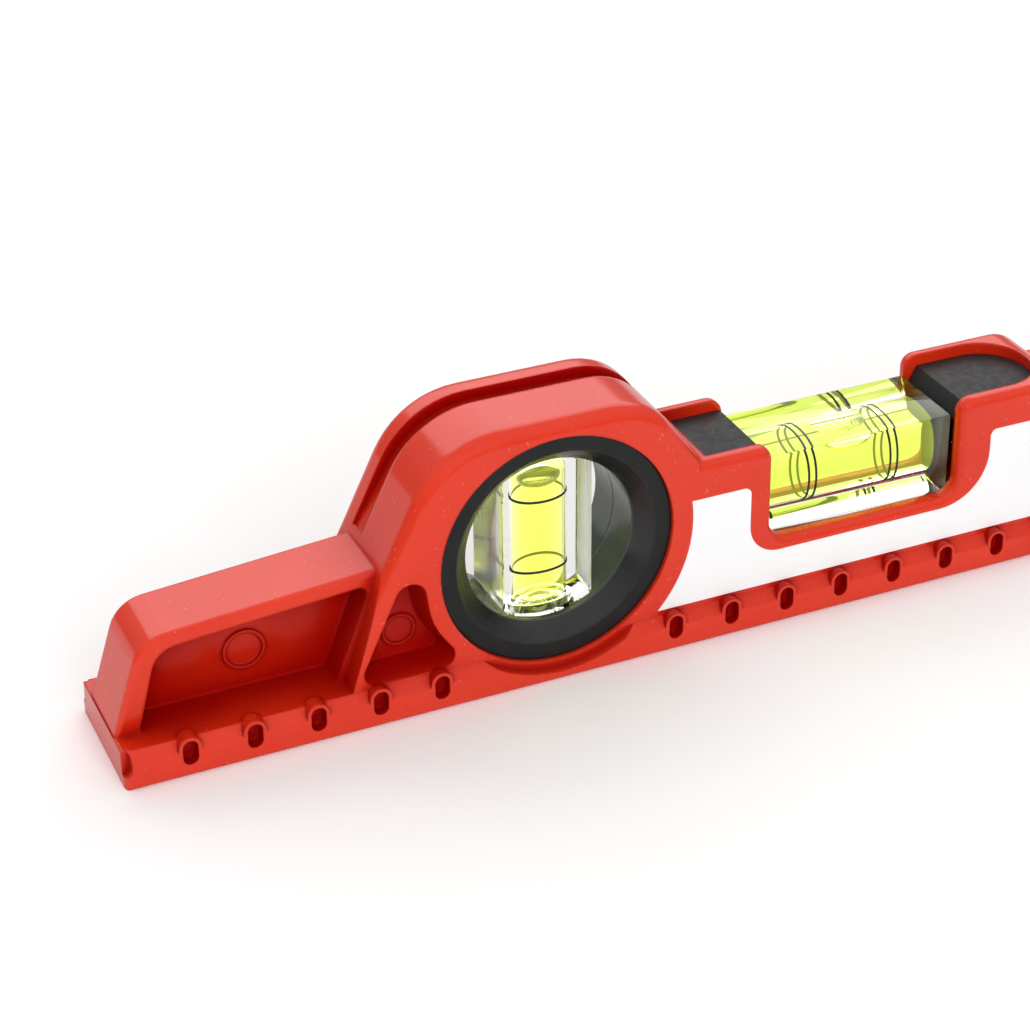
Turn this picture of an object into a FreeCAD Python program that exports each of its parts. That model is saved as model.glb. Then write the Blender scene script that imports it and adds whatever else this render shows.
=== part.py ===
# Cast magnetic spirit level, 250 mm long, with a level vial and a plumb vial.
# Millimetres. +X runs along the base, +Y to the back, +Z up.
# The origin is the middle of the ground base face.

import FreeCAD
import Part
import Sketcher
import os

doc = FreeCAD.newDocument("spirit_level")

# Sizes

SIZES = [
    ("half_length", 125.0, "half the length of the base"),
    ("half_width", 12.0, "half the width of the base"),
    ("edge_height", 4.4, "height of the upright edge of the base"),
    ("bevel_top", 5.9, "height of the top of the base bevel"),
    ("sole_chamfer", 0.5, "chamfer along the base's lower edges"),
    ("face", 10.3, "front and back face of the upper body, from the middle"),
    ("window_x", -54.6, "middle of the plumb window"),
    ("window_z", 22.35, "height of the middle of the plumb window"),
    ("hump_foot_x", -89.6, "foot of the strut on the left"),
    ("hump_knee_x", -83.0, "where the strut meets the low section"),
    ("hump_knee_z", 24.3, "height of that point"),
    ("hump_left_x", -73.3, "upper left corner of the hump"),
    ("hump_right_x", -38.9, "upper right corner of the hump"),
    ("hump_top", 44.5, "top of the hump"),
    ("hump_left_r", 15.6, "left shoulder radius"),
    ("hump_right_r", 12.0, "right shoulder radius"),
    ("hump_toe_x", -25.9, "end of the hump's right slope, inside the body"),
    ("hump_toe_z", 27.0, "height of that point"),
    ("hump_edge_r", 2.6, "rounding of the hump's long edges"),
    ("plate_left_x", -42.0, "left end of the plate, inside the hump"),
    ("plate_top", 31.6, "top of the two cap seats"),
    ("plate_corner_r", 2.4, "corner radius beside the opening"),
    ("opening_left", -17.2, "left side of the opening"),
    ("opening_right", 17.5, "right side of the opening"),
    ("opening_floor", 14.5, "top of the rails below the vial"),
    ("opening_r", 3.2, "lower corner radius of the opening"),
    ("shoulder_x", 37.5, "corner where the right cap seat falls away"),
    ("shoulder_r", 6.0, "radius of that corner"),
    ("valley_x", 42.4, "foot of the fall, on the sloping top"),
    ("valley_z", 26.95, "height of that point"),
    ("plate_right_x", 63.0, "top of the plate's right end"),
    ("plate_right_z", 25.4, "height of that point"),
    ("plate_foot_x", 68.0, "foot of the plate's right end"),
    ("plate_edge_r", 1.6, "rounding of the plate's long edges"),
    ("seam_z", 3.6, "depth to which the upper parts reach into the base"),
    ("low_half", 6.4, "half the thickness of the low sections"),
    ("foot_inset", 0.2, "end wall foot, in from the end of the base"),
    ("corner_inset", 4.9, "upper corner of an end wall, in from the end"),
    ("low_corner_z", 21.3, "height of that corner"),
    ("low_corner_r", 6.0, "radius of that corner"),
    ("low_inner_x", 80.0, "inner end of the left low section"),
    ("low_inner_z", 24.3, "height of its top there"),
    ("low_inner_right_x", 60.0, "inner end of the right low section"),
    ("low_inner_right_z", 25.6, "height of its top there"),
    ("low_edge_r", 0.8, "rounding of the low sections' edges"),
    ("recess_foot_inset", 3.8, "outer lower corner of an end pocket, in from the end"),
    ("recess_corner_inset", 7.3, "outer upper corner of an end pocket, in from the end"),
    ("recess_corner_z", 19.2, "height of that corner"),
    ("recess_corner_r", 4.4, "radius of that corner"),
    ("recess_inner_x", 83.9, "inner upper corner of the left pocket"),
    ("recess_inner_z", 21.8, "height of that corner"),
    ("recess_heel_x", 90.3, "inner lower corner of the left pocket"),
    ("recess_right_x", 66.6, "inner upper corner of the right pocket"),
    ("recess_right_z", 23.1, "height of that corner"),
    ("recess_right_heel_x", 69.6, "inner lower corner of the right pocket"),
    ("recess_floor", 5.3, "floor of the pockets"),
    ("recess_small_r", 1.4, "small corner radius in the pockets"),
    ("web_half", 1.0, "half the thickness of the web between the pockets"),
    ("mark_r", 3.4, "radius of the ejector marks in the end pockets"),
    ("mark_line", 0.5, "width of the raised ring of a mark"),
    ("mark_height", 0.4, "height of that ring"),
    ("mark_inset", 22.2, "ejector mark of an end pocket, in from the end"),
    ("mark_z", 12.4, "its height"),
    ("mark_small_x", -79.4, "ejector mark of the small pocket"),
    ("mark_small_z", 11.9, "its height"),
    ("mark_small_r", 2.8, "its radius"),
    ("nook_web", 5.0, "half the thickness behind the small pocket"),
    ("nook_top_x", -77.7, "top corner of the small pocket"),
    ("nook_top_z", 29.5, "height of that corner"),
    ("nook_top_r", 2.6, "radius of that corner"),
    ("nook_side_x", -75.8, "hollow side towards the window"),
    ("nook_side_z", 14.5, "height of that point"),
    ("nook_side_r", 14.0, "radius of the hollow side"),
    ("nook_right_x", -70.1, "lower right corner of the small pocket"),
    ("nook_left_x", -88.2, "lower left corner of the small pocket"),
    ("nook_floor", 6.3, "floor of the small pocket at its mouth"),
    ("nook_r", 2.2, "radius of the lower corners"),
    ("nook_draft", 12.0, "slope of the small pocket's sides, in degrees"),
    ("groove_near", 1.6, "front side of the groove over the hump"),
    ("groove_far", 5.4, "back side of the groove"),
    ("groove_depth", 1.8, "depth of the groove"),
    ("groove_foot_x", -83.6, "left end of the groove on the slope"),
    ("groove_foot_z", 25.6, "height of that end"),
    ("groove_toe_x", -29.3, "right end of the groove"),
    ("groove_toe_z", 32.6, "height of that end"),
    ("groove_margin", 6.0, "how far the cutting shape stands outside"),
    ("boss_r", 20.9, "edge of the flat around the window"),
    ("rim_r", 19.6, "radius of the bezel seat"),
    ("rim_deep", 6.9, "inner plane of the bezel seat, from the middle"),
    ("bore_r", 17.3, "radius of the window bore"),
    ("bezel_face", 9.6, "outer plane of a bezel, from the middle"),
    ("bezel_r", 19.5, "outer radius of a bezel"),
    ("sleeve_r", 17.2, "outer radius of a bezel's sleeve"),
    ("cone_r", 16.8, "outer radius of the bezel's inner cone"),
    ("cone_end", 6.6, "depth at which the cone ends, from the middle"),
    ("window_r", 14.1, "radius of the clear window"),
    ("sleeve_gap", 0.05, "half the joint between the two sleeves"),
    ("vial_fit", 0.05, "play of the plumb vial in the sleeves"),
    ("notch_pitch", 10.0, "pitch of the notches"),
    ("notch_r", 1.2, "half the width of a notch"),
    ("notch_reach", 0.85, "half the straight part of a notch"),
    ("notch_z", 4.15, "height of the middle of a notch"),
    ("notch_depth", 2.0, "depth of a notch"),
    ("notch_clear", 15.0, "room without notches on each side of the window"),
    ("arch_back", 0.6, "wall between a notch and the back of its arch"),
    ("tab_r", 1.8, "radius of the arch above a notch"),
    ("tab_z", 4.9, "height of the centre of that arch"),
    ("slot_half", 7.9, "half the width of the vial slot"),
    ("slot_left", -28.4, "left end of the slot"),
    ("slot_right", 36.2, "right end of the slot"),
    ("slot_floor", 13.2, "floor of the slot"),
    ("slot_dip", 0.5, "how much the floor drops between the two seats"),
    ("seat_inner", 13.5, "inner end of the seats, from the middle"),
    ("cap_top", 29.6, "top of the caps"),
    ("cap_under", 28.6, "underside of the left cap"),
    ("right_cap_under", 26.6, "underside of the right cap"),
    ("cap_bevel", 1.5, "width of the right cap's bevel"),
    ("cap_lip", 0.3, "upright edge below that bevel"),
    ("cap_gap", 0.1, "joint around a cap"),
    ("left_cap_end", -17.6, "free end of the left cap"),
    ("right_cap_end", 18.4, "free end of the right cap"),
    ("vial_half", 7.7, "half the width of the level vial"),
    ("vial_left", -23.0, "left end of the level vial"),
    ("vial_right", 17.0, "right end of the level vial"),
    ("vial_top", 28.5, "top of the level vial"),
    ("vial_chamfer", 0.3, "bevel along the vial's edges"),
    ("tube_z", 21.3, "height of the level tube's axis"),
    ("tube_r", 4.65, "radius of the level tube"),
    ("tube_left", -19.5, "left end of the liquid"),
    ("tube_right", 15.2, "right end of the liquid"),
    ("bubble_half", 4.9, "half the length of the level bubble"),
    ("bubble_r", 1.9, "radius of the level bubble"),
    ("bubble_gap", 0.08, "liquid film above the bubble"),
    ("plug_r", 3.25, "radius of the end plug"),
    ("plug_end", 21.4, "outer end of the level plug"),
    ("line_inner", 6.85, "inner line of a pair, from the middle"),
    ("line_outer", 8.15, "outer line of a pair, from the middle"),
    ("line_half", 0.19, "half the width of a line"),
    ("line_depth", 0.12, "thickness of a line"),
    ("plumb_half_x", 7.6, "half the width of the plumb vial"),
    ("plumb_half_y", 6.0, "half the depth of the plumb vial"),
    ("plumb_tube_r", 4.6, "radius of the plumb tube"),
    ("plumb_below", 11.95, "lower end of the plumb liquid, below the window's middle"),
    ("plumb_above", 10.65, "upper end of the plumb liquid, above the window's middle"),
    ("plumb_line_below", 6.45, "lower plumb line, below the window's middle"),
    ("plumb_line_above", 5.95, "upper plumb line, above the window's middle"),
    ("plumb_bubble_r", 4.1, "radius of the plumb bubble"),
    ("plumb_bubble_h", 3.6, "height of the plumb bubble"),
    ("plumb_plug_r", 5.4, "radius of the plumb plug"),
    ("plumb_plug_set", 0.65, "lower end of the plumb plug, in from the window's edge"),
    ("label_low", 6.9, "lower edge of a label"),
    ("label_top", 25.5, "upper edge of a label"),
    ("label_left", -40.0, "left end of a label before the window is cut out"),
    ("label_strut", -21.3, "left side of the label's cut-out"),
    ("label_strut_r", 5.5, "corner radius there"),
    ("label_rail", 12.75, "lower side of the cut-out"),
    ("label_right", 23.3, "right side of the cut-out"),
    ("label_right_r", 9.0, "corner radius there"),
    ("label_shoulder", 39.6, "where the upper edge starts to fall"),
    ("label_valley_x", 42.6, "end of the fall"),
    ("label_valley_z", 23.0, "height of that point"),
    ("label_end_x", 59.5, "upper right corner"),
    ("label_end_z", 21.8, "height of that corner"),
    ("label_end_low_x", 62.5, "lower right corner"),
    ("label_corner_r", 1.2, "corner radius of a label"),
    ("label_ring_r", 23.05, "radius of the label's edge around the window"),
    ("label_skin", 0.12, "thickness of a label"),
    ("magnet_half_x", 12.5, "half the length of a magnet"),
    ("magnet_half_y", 5.0, "half the width of a magnet"),
    ("magnet_high", 3.4, "top of a magnet"),
    ("magnet_set", 0.3, "how far a magnet is set in from the base face"),
    ("magnet_inset", 30.0, "middle of an outer magnet, in from the end"),
]

sheet = doc.addObject("Spreadsheet::Sheet", "Sizes")
for row, (alias, number, meaning) in enumerate(SIZES, start=1):
    sheet.set("A%d" % row, alias)
    sheet.set("B%d" % row, str(number))
    sheet.set("C%d" % row, meaning)
    sheet.setAlias("B%d" % row, alias)
doc.recompute()


def reading(terms):
    # A sum such as "window_x - rim_r" gives its number and its expression.
    total = 0.0
    sign = 1.0
    text = ""
    for word in terms.split():
        if word in ("+", "-"):
            sign = 1.0 if word == "+" else -1.0
            text += word
        elif word.replace(".", "").isdigit():
            total += sign * float(word)
            text += word
        else:
            total += sign * float(sheet.get(word))
            text += "Sizes." + word
    return total, text


def number(terms):
    return reading(terms)[0]


def bind(thing, path, terms):
    thing.setExpression(path, reading(terms)[1])


# Helpers for outlines and slabs

def corner_arc(before, here, after, radius):
    # The two tangent points and the centre of a rounded corner.
    inward = (before - here).normalize()
    onward = (after - here).normalize()
    cosine = (inward + onward).Length / 2.0
    sine = (inward - onward).Length / 2.0
    reach = radius * cosine / sine
    start = here + inward * reach
    end = here + onward * reach
    middle = (inward + onward).normalize() * (radius / sine)
    return start, end, here + middle


def draw_outline(sketch, corners):
    # corners holds (x, z) or (x, z, radius), each given as a sum of cells.
    count = len(corners)
    spots = []
    for corner in corners:
        spots.append(FreeCAD.Vector(number(corner[0]), number(corner[1]), 0))
    starts = []
    ends = []
    centres = []
    for index, corner in enumerate(corners):
        here = spots[index]
        if len(corner) > 2:
            before = spots[index - 1]
            after = spots[(index + 1) % count]
            start, end, centre = corner_arc(before, here, after, number(corner[2]))
        else:
            start, end, centre = here, here, None
        starts.append(start)
        ends.append(end)
        centres.append(centre)
    lines = []
    for index in range(count):
        following = (index + 1) % count
        segment = Part.LineSegment(ends[index], starts[following])
        lines.append(sketch.addGeometry(segment, False))
    for index, corner in enumerate(corners):
        incoming = lines[index - 1]
        outgoing = lines[index]
        if centres[index] is None:
            sketch.addConstraint(Sketcher.Constraint("Coincident", incoming, 2, outgoing, 1))
            place(sketch, outgoing, 1, corner)
            continue
        centre = centres[index]
        first = starts[index] - centre
        second = ends[index] - centre
        turn = first.cross(second).z
        circle = Part.Circle(centre, FreeCAD.Vector(0, 0, 1), number(corner[2]))
        if turn > 0:
            arc = Part.ArcOfCircle(circle, circle.parameter(starts[index]),
                                   circle.parameter(ends[index]))
            entry, leave = 1, 2
        else:
            arc = Part.ArcOfCircle(circle, circle.parameter(ends[index]),
                                   circle.parameter(starts[index]))
            entry, leave = 2, 1
        bend = sketch.addGeometry(arc, False)
        sketch.addConstraint(Sketcher.Constraint("Tangent", incoming, 2, bend, entry))
        sketch.addConstraint(Sketcher.Constraint("Tangent", bend, leave, outgoing, 1))
        size = sketch.addConstraint(Sketcher.Constraint("Radius", bend, number(corner[2])))
        bind(sketch, "Constraints[%d]" % size, corner[2])
        peak = sketch.addGeometry(Part.Point(spots[index]), True)
        sketch.addConstraint(Sketcher.Constraint("PointOnObject", peak, 1, incoming))
        sketch.addConstraint(Sketcher.Constraint("PointOnObject", peak, 1, outgoing))
        place(sketch, peak, 1, corner)


def place(sketch, item, point, corner):
    across = sketch.addConstraint(
        Sketcher.Constraint("DistanceX", -1, 1, item, point, number(corner[0])))
    bind(sketch, "Constraints[%d]" % across, corner[0])
    upward = sketch.addConstraint(
        Sketcher.Constraint("DistanceY", -1, 1, item, point, number(corner[1])))
    bind(sketch, "Constraints[%d]" % upward, corner[1])


def plane_sketch(body, name, role):
    sketch = body.newObject("Sketcher::SketchObject", name)
    for feature in body.Origin.OriginFeatures:
        if feature.Role == role:
            sketch.AttachmentSupport = [(feature, "")]
    sketch.MapMode = "FlatFace"
    return sketch


def slab(name, corners, near, far, role="XZ_Plane"):
    # An outline padded from one plane to another, both given along the normal.
    body = doc.addObject("PartDesign::Body", name)
    sketch = plane_sketch(body, name + "_outline", role)
    draw_outline(sketch, corners)
    low, low_text = reading(near)
    high, high_text = reading(far)
    sketch.AttachmentOffset = FreeCAD.Placement(
        FreeCAD.Vector(0, 0, low), FreeCAD.Rotation())
    sketch.setExpression("AttachmentOffset.Base.z", low_text)
    pad = body.newObject("PartDesign::Pad", name + "_pad")
    pad.Profile = sketch
    pad.Length = high - low
    pad.setExpression("Length", "(%s) - (%s)" % (high_text, low_text))
    doc.recompute()
    return body, pad


def round_edges(body, base, name, edges, radius):
    fillet = body.newObject("PartDesign::Fillet", name)
    fillet.Base = (base, edges)
    fillet.Radius = number(radius)
    bind(fillet, "Radius", radius)
    doc.recompute()
    return fillet


def face_edges(shape, half, lowest, right=None):
    # Edges of the outline that lie in the front and back planes.
    names = []
    for index, edge in enumerate(shape.Edges, start=1):
        box = edge.BoundBox
        flat = box.YMax - box.YMin < 0.001 and abs(abs(box.YMax) - half) < 0.001
        high = box.ZMin > lowest
        inside = right is None or box.XMax < right
        if flat and high and inside:
            names.append("Edge%d" % index)
    return names


def post(name, radius, near, far, x_terms, z_terms):
    # A cylinder along Y from near to far.
    rod = doc.addObject("Part::Cylinder", name)
    bind(rod, "Radius", radius)
    rod.setExpression("Height", "(%s) - (%s)" % (reading(far)[1], reading(near)[1]))
    turn = FreeCAD.Rotation(FreeCAD.Vector(1, 0, 0), -90)
    spot = FreeCAD.Vector(number(x_terms), number(near), number(z_terms))
    rod.Placement = FreeCAD.Placement(spot, turn)
    bind(rod, "Placement.Base.x", x_terms)
    bind(rod, "Placement.Base.y", near)
    bind(rod, "Placement.Base.z", z_terms)
    return rod


def rod_along_x(name, radius, near, far, z_terms):
    rod = doc.addObject("Part::Cylinder", name)
    bind(rod, "Radius", radius)
    rod.setExpression("Height", "(%s) - (%s)" % (reading(far)[1], reading(near)[1]))
    turn = FreeCAD.Rotation(FreeCAD.Vector(0, 1, 0), 90)
    spot = FreeCAD.Vector(number(near), 0, number(z_terms))
    rod.Placement = FreeCAD.Placement(spot, turn)
    bind(rod, "Placement.Base.x", near)
    bind(rod, "Placement.Base.z", z_terms)
    return rod


def rod_upright(name, radius, low, high, x_terms):
    rod = doc.addObject("Part::Cylinder", name)
    bind(rod, "Radius", radius)
    rod.setExpression("Height", "(%s) - (%s)" % (reading(high)[1], reading(low)[1]))
    rod.Placement.Base = FreeCAD.Vector(number(x_terms), 0, number(low))
    bind(rod, "Placement.Base.x", x_terms)
    bind(rod, "Placement.Base.z", low)
    return rod


def block(name, x_near, x_far, y_near, y_far, z_near, z_far):
    box = doc.addObject("Part::Box", name)
    spans = (("Length", "x", x_near, x_far), ("Width", "y", y_near, y_far),
             ("Height", "z", z_near, z_far))
    for side, axis, near, far in spans:
        box.setExpression(side, "(%s) - (%s)" % (reading(far)[1], reading(near)[1]))
        bind(box, "Placement.Base." + axis, near)
    return box


def join(name, things):
    fusion = doc.addObject("Part::MultiFuse", name)
    fusion.Shapes = things
    return fusion


def cut(name, base, tool):
    result = doc.addObject("Part::Cut", name)
    result.Base = base
    result.Tool = tool
    return result


def common(name, things):
    shared = doc.addObject("Part::MultiCommon", name)
    shared.Shapes = things
    return shared


def mirrored(name, source, normal):
    copy = doc.addObject("Part::Mirroring", name)
    copy.Source = source
    copy.Normal = normal
    return copy


ACROSS = FreeCAD.Vector(0, 1, 0)
ALONG = FreeCAD.Vector(1, 0, 0)

# Casting: the base bar, a six-sided section with bevelled shoulders

base_corners = [
    ("- half_width + sole_chamfer", "0"),
    ("half_width - sole_chamfer", "0"),
    ("half_width", "sole_chamfer"),
    ("half_width", "edge_height"),
    ("face", "bevel_top"),
    ("- face", "bevel_top"),
    ("- half_width", "edge_height"),
    ("- half_width", "sole_chamfer"),
]
base_bar, base_pad = slab("base_bar", base_corners, "- half_length", "half_length", "YZ_Plane")
end_edges = []
for index, edge in enumerate(base_pad.Shape.Edges, start=1):
    box = edge.BoundBox
    upright = box.ZMax - box.ZMin > 1.0 and box.XMax - box.XMin < 0.001
    if upright and box.YMax - box.YMin < 0.001:
        end_edges.append("Edge%d" % index)
round_edges(base_bar, base_pad, "base_bar_ends", end_edges, "plate_edge_r")

# Casting: the hump around the plumb window, with the strut on its left

hump_corners = [
    ("hump_foot_x", "seam_z"),
    ("plate_left_x + groove_margin", "seam_z"),
    ("hump_toe_x", "hump_toe_z"),
    ("hump_right_x", "hump_top", "hump_right_r"),
    ("hump_left_x", "hump_top", "hump_left_r"),
    ("hump_knee_x", "hump_knee_z"),
]
hump, hump_pad = slab("hump", hump_corners, "- face", "face")
hump_edges = face_edges(hump_pad.Shape, number("face"), number("hump_knee_z") - 0.01)
round_edges(hump, hump_pad, "hump_edges", hump_edges, "hump_edge_r")

# Casting: the plate with the two cap seats and the opening between them

plate_corners = [
    ("plate_left_x", "seam_z"),
    ("plate_foot_x", "seam_z"),
    ("plate_right_x", "plate_right_z", "plate_corner_r"),
    ("valley_x", "valley_z"),
    ("shoulder_x", "plate_top", "shoulder_r"),
    ("opening_right", "plate_top", "plate_corner_r"),
    ("opening_right", "opening_floor", "opening_r"),
    ("opening_left", "opening_floor", "opening_r"),
    ("opening_left", "plate_top", "plate_corner_r"),
    ("plate_left_x", "plate_top"),
]
plate, plate_pad = slab("plate", plate_corners, "- face", "face")
plate_edges = face_edges(plate_pad.Shape, number("face"), number("bevel_top"))
round_edges(plate, plate_pad, "plate_edges", plate_edges, "plate_edge_r")

# Casting: the low sections at both ends, each with a pocket on both sides

LEFT_END = "- half_length + "
RIGHT_END = "half_length - "

def low_section(name, end, inner_x, inner_z, pocket_x, pocket_z, heel_x):
    # end holds the start of a sum that is measured from that end of the base.
    outline = [
        (end + "foot_inset", "seam_z"),
        (end + "foot_inset", "bevel_top"),
        (end + "corner_inset", "low_corner_z", "low_corner_r"),
        (inner_x, inner_z),
        (inner_x, "seam_z"),
    ]
    pocket = [
        (end + "recess_foot_inset", "recess_floor", "recess_small_r"),
        (end + "recess_corner_inset", "recess_corner_z", "recess_corner_r"),
        (pocket_x, pocket_z, "recess_small_r"),
        (heel_x, "recess_floor", "recess_small_r"),
    ]
    if end == RIGHT_END:
        outline.reverse()
        pocket.reverse()
    wall, wall_pad = slab(name, outline, "- low_half", "low_half")
    edges = face_edges(wall_pad.Shape, number("low_half"), number("seam_z") - 0.01)
    kept = []
    for edge_name in edges:
        edge = wall_pad.Shape.getElement(edge_name)
        if abs(edge.BoundBox.XMax - number(inner_x)) > 0.01 or edge.BoundBox.XLength > 0.01:
            kept.append(edge_name)
    round_edges(wall, wall_pad, name + "_edges", kept, "low_edge_r")
    front, front_pad = slab(name + "_pocket", pocket, "web_half", "half_width")
    back = mirrored(name + "_pocket_back", front, ACROSS)
    opened = cut(name + "_opened", wall, front)
    return cut(name + "_hollow", opened, back)


left_low = low_section("left_low", LEFT_END, "- low_inner_x", "low_inner_z",
                       "- recess_inner_x", "recess_inner_z", "- recess_heel_x")
right_low = low_section("right_low", RIGHT_END, "low_inner_right_x", "low_inner_right_z",
                        "recess_right_x", "recess_right_z", "recess_right_heel_x")

# Casting: notches a pitch apart along the base, with an arch above each

NOTCHES = []
ARCHED = []
pitches = int(2.0 * number("half_length") / number("notch_pitch") + 0.001)
for index in range(pitches + 1):
    along = index * number("notch_pitch") - number("half_length")
    if abs(along - number("window_x")) > number("notch_clear"):
        NOTCHES.append(index)
        if abs(along) + number("tab_r") < number("half_length"):
            ARCHED.append(index)


def notch_offset(index):
    return "- half_length" + " + notch_pitch" * index


arches = []
for index in ARCHED:
    arches.append(post("arch_%d" % index, "tab_r", "- half_width",
                       "- half_width + notch_depth + arch_back", notch_offset(index), "tab_z"))
front_arches = doc.addObject("Part::Compound", "front_arches")
front_arches.Links = arches
back_arches = mirrored("back_arches", front_arches, ACROSS)

# The step around the window is cut before the upper parts are joined

front_step = post("front_step", "boss_r", "- half_width - 1", "- face",
                  "window_x", "window_z")
back_step = post("back_step", "boss_r", "face", "half_width + 1", "window_x", "window_z")
step_tools = join("step_tools", [front_step, back_step])
arched_base = join("arched_base", [base_bar] + arches + [back_arches])
stepped_base = cut("stepped_base", arched_base, step_tools)
upper_parts = join("upper_parts", [stepped_base, hump, plate, left_low, right_low])

# Casting: what is taken out of it

nook_corners = [
    ("nook_left_x", "nook_floor", "nook_r"),
    ("nook_right_x", "nook_floor", "nook_r"),
    ("nook_side_x", "nook_side_z", "nook_side_r"),
    ("nook_top_x", "nook_top_z", "nook_top_r"),
]
nook, nook_pad = slab("nook", nook_corners, "face", "face + face - nook_web")
nook_pad.Reversed = True
bind(nook_pad, "TaperAngle", "- nook_draft")
doc.recompute()
nook_back = mirrored("nook_back", nook, ACROSS)

groove_corners = [
    ("groove_foot_x - groove_margin", "groove_foot_z"),
    ("groove_foot_x + groove_depth", "groove_foot_z"),
    ("hump_left_x + groove_depth", "hump_top - groove_depth", "hump_left_r"),
    ("hump_right_x - groove_depth", "hump_top - groove_depth", "hump_right_r"),
    ("groove_toe_x - groove_depth", "groove_toe_z"),
    ("groove_toe_x + groove_margin", "groove_toe_z"),
    ("hump_right_x + groove_margin", "hump_top + groove_margin"),
    ("hump_left_x - groove_margin", "hump_top + groove_margin"),
]
groove, groove_pad = slab("groove", groove_corners, "- groove_far", "- groove_near")

bore = post("bore", "bore_r", "- face - 1", "face + 1", "window_x", "window_z")
rim_front = post("rim_front", "rim_r", "- face - 1", "- rim_deep", "window_x", "window_z")
rim_back = post("rim_back", "rim_r", "rim_deep", "face + 1", "window_x", "window_z")

slot_seats = block("slot_seats", "slot_left", "slot_right - slot_half",
                   "- slot_half", "slot_half", "slot_floor", "plate_top + 1")
slot_dip = block("slot_dip_cut", "- seat_inner", "seat_inner", "- slot_half", "slot_half",
                 "slot_floor - slot_dip", "plate_top")
slot_end = rod_upright("slot_end", "slot_half", "slot_floor", "plate_top + 1",
                       "slot_right - slot_half")

notches = []
for index in NOTCHES:
    offset = notch_offset(index)
    lower = post("notch_low_%d" % index, "notch_r", "- half_width - 1",
                 "- half_width + notch_depth", offset, "notch_z - notch_reach")
    upper = post("notch_high_%d" % index, "notch_r", "- half_width - 1",
                 "- half_width + notch_depth", offset, "notch_z + notch_reach")
    middle = block("notch_mid_%d" % index, offset + " - notch_r", offset + " + notch_r",
                   "- half_width - 1", "- half_width + notch_depth",
                   "notch_z - notch_reach", "notch_z + notch_reach")
    notches.append(join("notch_%d" % index, [lower, middle, upper]))
front_notches = doc.addObject("Part::Compound", "front_notches")
front_notches.Links = notches
back_notches = mirrored("back_notches", front_notches, ACROSS)

MAGNETS = (("left", LEFT_END + "magnet_inset"), ("middle", "0"),
           ("right", RIGHT_END + "magnet_inset"))
magnet_pockets = []
for where, middle in MAGNETS:
    magnet_pockets.append(block("magnet_pocket_" + where, middle + " - magnet_half_x",
                                middle + " + magnet_half_x", "- magnet_half_y",
                                "magnet_half_y", "0 - 1", "magnet_high"))

tools = join("casting_tools", [nook, nook_back, groove, bore, rim_front, rim_back,
                               slot_seats, slot_dip, slot_end] + magnet_pockets)
hollowed = cut("hollowed", upper_parts, tools)
notched = cut("notched", hollowed, front_notches)
both_notched = cut("both_notched", notched, back_notches)

# Casting: raised ejector marks on the web of the pockets

marks = []
for name, x_terms, z_terms, radius, web in (
        ("end_mark", LEFT_END + "mark_inset", "mark_z", "mark_r", "web_half"),
        ("far_mark", RIGHT_END + "mark_inset", "mark_z", "mark_r", "web_half"),
        ("nook_mark", "mark_small_x", "mark_small_z", "mark_small_r", "nook_web")):
    outer = post(name + "_outer", radius, "- " + web + " - mark_height",
                 web + " + mark_height", x_terms, z_terms)
    inner = post(name + "_inner", radius + " - mark_line", "- " + web + " - mark_height - 1",
                 web + " + mark_height + 1", x_terms, z_terms)
    marks.append(cut(name, outer, inner))
casting = join("casting", [both_notched] + marks)

# Plumb bezels: a black ring at each window face, with a sleeve behind it


def bezel(name, sign):
    body = doc.addObject("PartDesign::Body", name + "_body")
    sketch = plane_sketch(body, name + "_section", "XY_Plane")
    profile = [
        ("cone_r", "bezel_face"),
        ("bezel_r", "bezel_face"),
        ("bezel_r", "rim_deep"),
        ("sleeve_r", "rim_deep"),
        ("sleeve_r", "sleeve_gap"),
        ("window_r", "sleeve_gap"),
        ("window_r", "cone_end"),
    ]
    draw_outline(sketch, profile)
    ring = body.newObject("PartDesign::Revolution", name + "_turn")
    ring.Profile = sketch
    ring.ReferenceAxis = (sketch, ["V_Axis"])
    ring.Angle = 360
    doc.recompute()
    turn = FreeCAD.Rotation() if sign > 0 else FreeCAD.Rotation(FreeCAD.Vector(0, 0, 1), 180)
    body.Placement = FreeCAD.Placement(FreeCAD.Vector(number("window_x"), 0,
                                                      number("window_z")), turn)
    bind(body, "Placement.Base.x", "window_x")
    bind(body, "Placement.Base.z", "window_z")
    return body


front_bezel = bezel("plumb_bezel_front", -1)
back_bezel = bezel("plumb_bezel_back", 1)

# Plumb vial: a clear block with a bored tube, its liquid, lines and plug

PLUMB_LOW = "window_z - plumb_below"
PLUMB_HIGH = "window_z + plumb_above"
plumb_core = block("plumb_core", "window_x - plumb_half_x", "window_x + plumb_half_x",
                   "- plumb_half_y", "plumb_half_y", "window_z - window_r",
                   "window_z + window_r")
plumb_round = post("plumb_round", "window_r - vial_fit", "- plumb_half_y", "plumb_half_y",
                   "window_x", "window_z")
plumb_solid = common("plumb_solid", [plumb_core, plumb_round])
plumb_bore = rod_upright("plumb_bore", "plumb_tube_r", PLUMB_LOW, PLUMB_HIGH, "window_x")
plumb_seat = rod_upright("plumb_seat", "plumb_plug_r", "0", PLUMB_LOW, "window_x")
plumb_holes = join("plumb_holes", [plumb_bore, plumb_seat])
plumb_block = cut("plumb_vial_block", plumb_solid, plumb_holes)

plumb_plug_blank = rod_upright("plumb_plug_blank", "plumb_plug_r",
                               "window_z - window_r + plumb_plug_set", PLUMB_LOW, "window_x")
plumb_plug = common("plumb_end_plug", [plumb_plug_blank, plumb_round])

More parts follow.
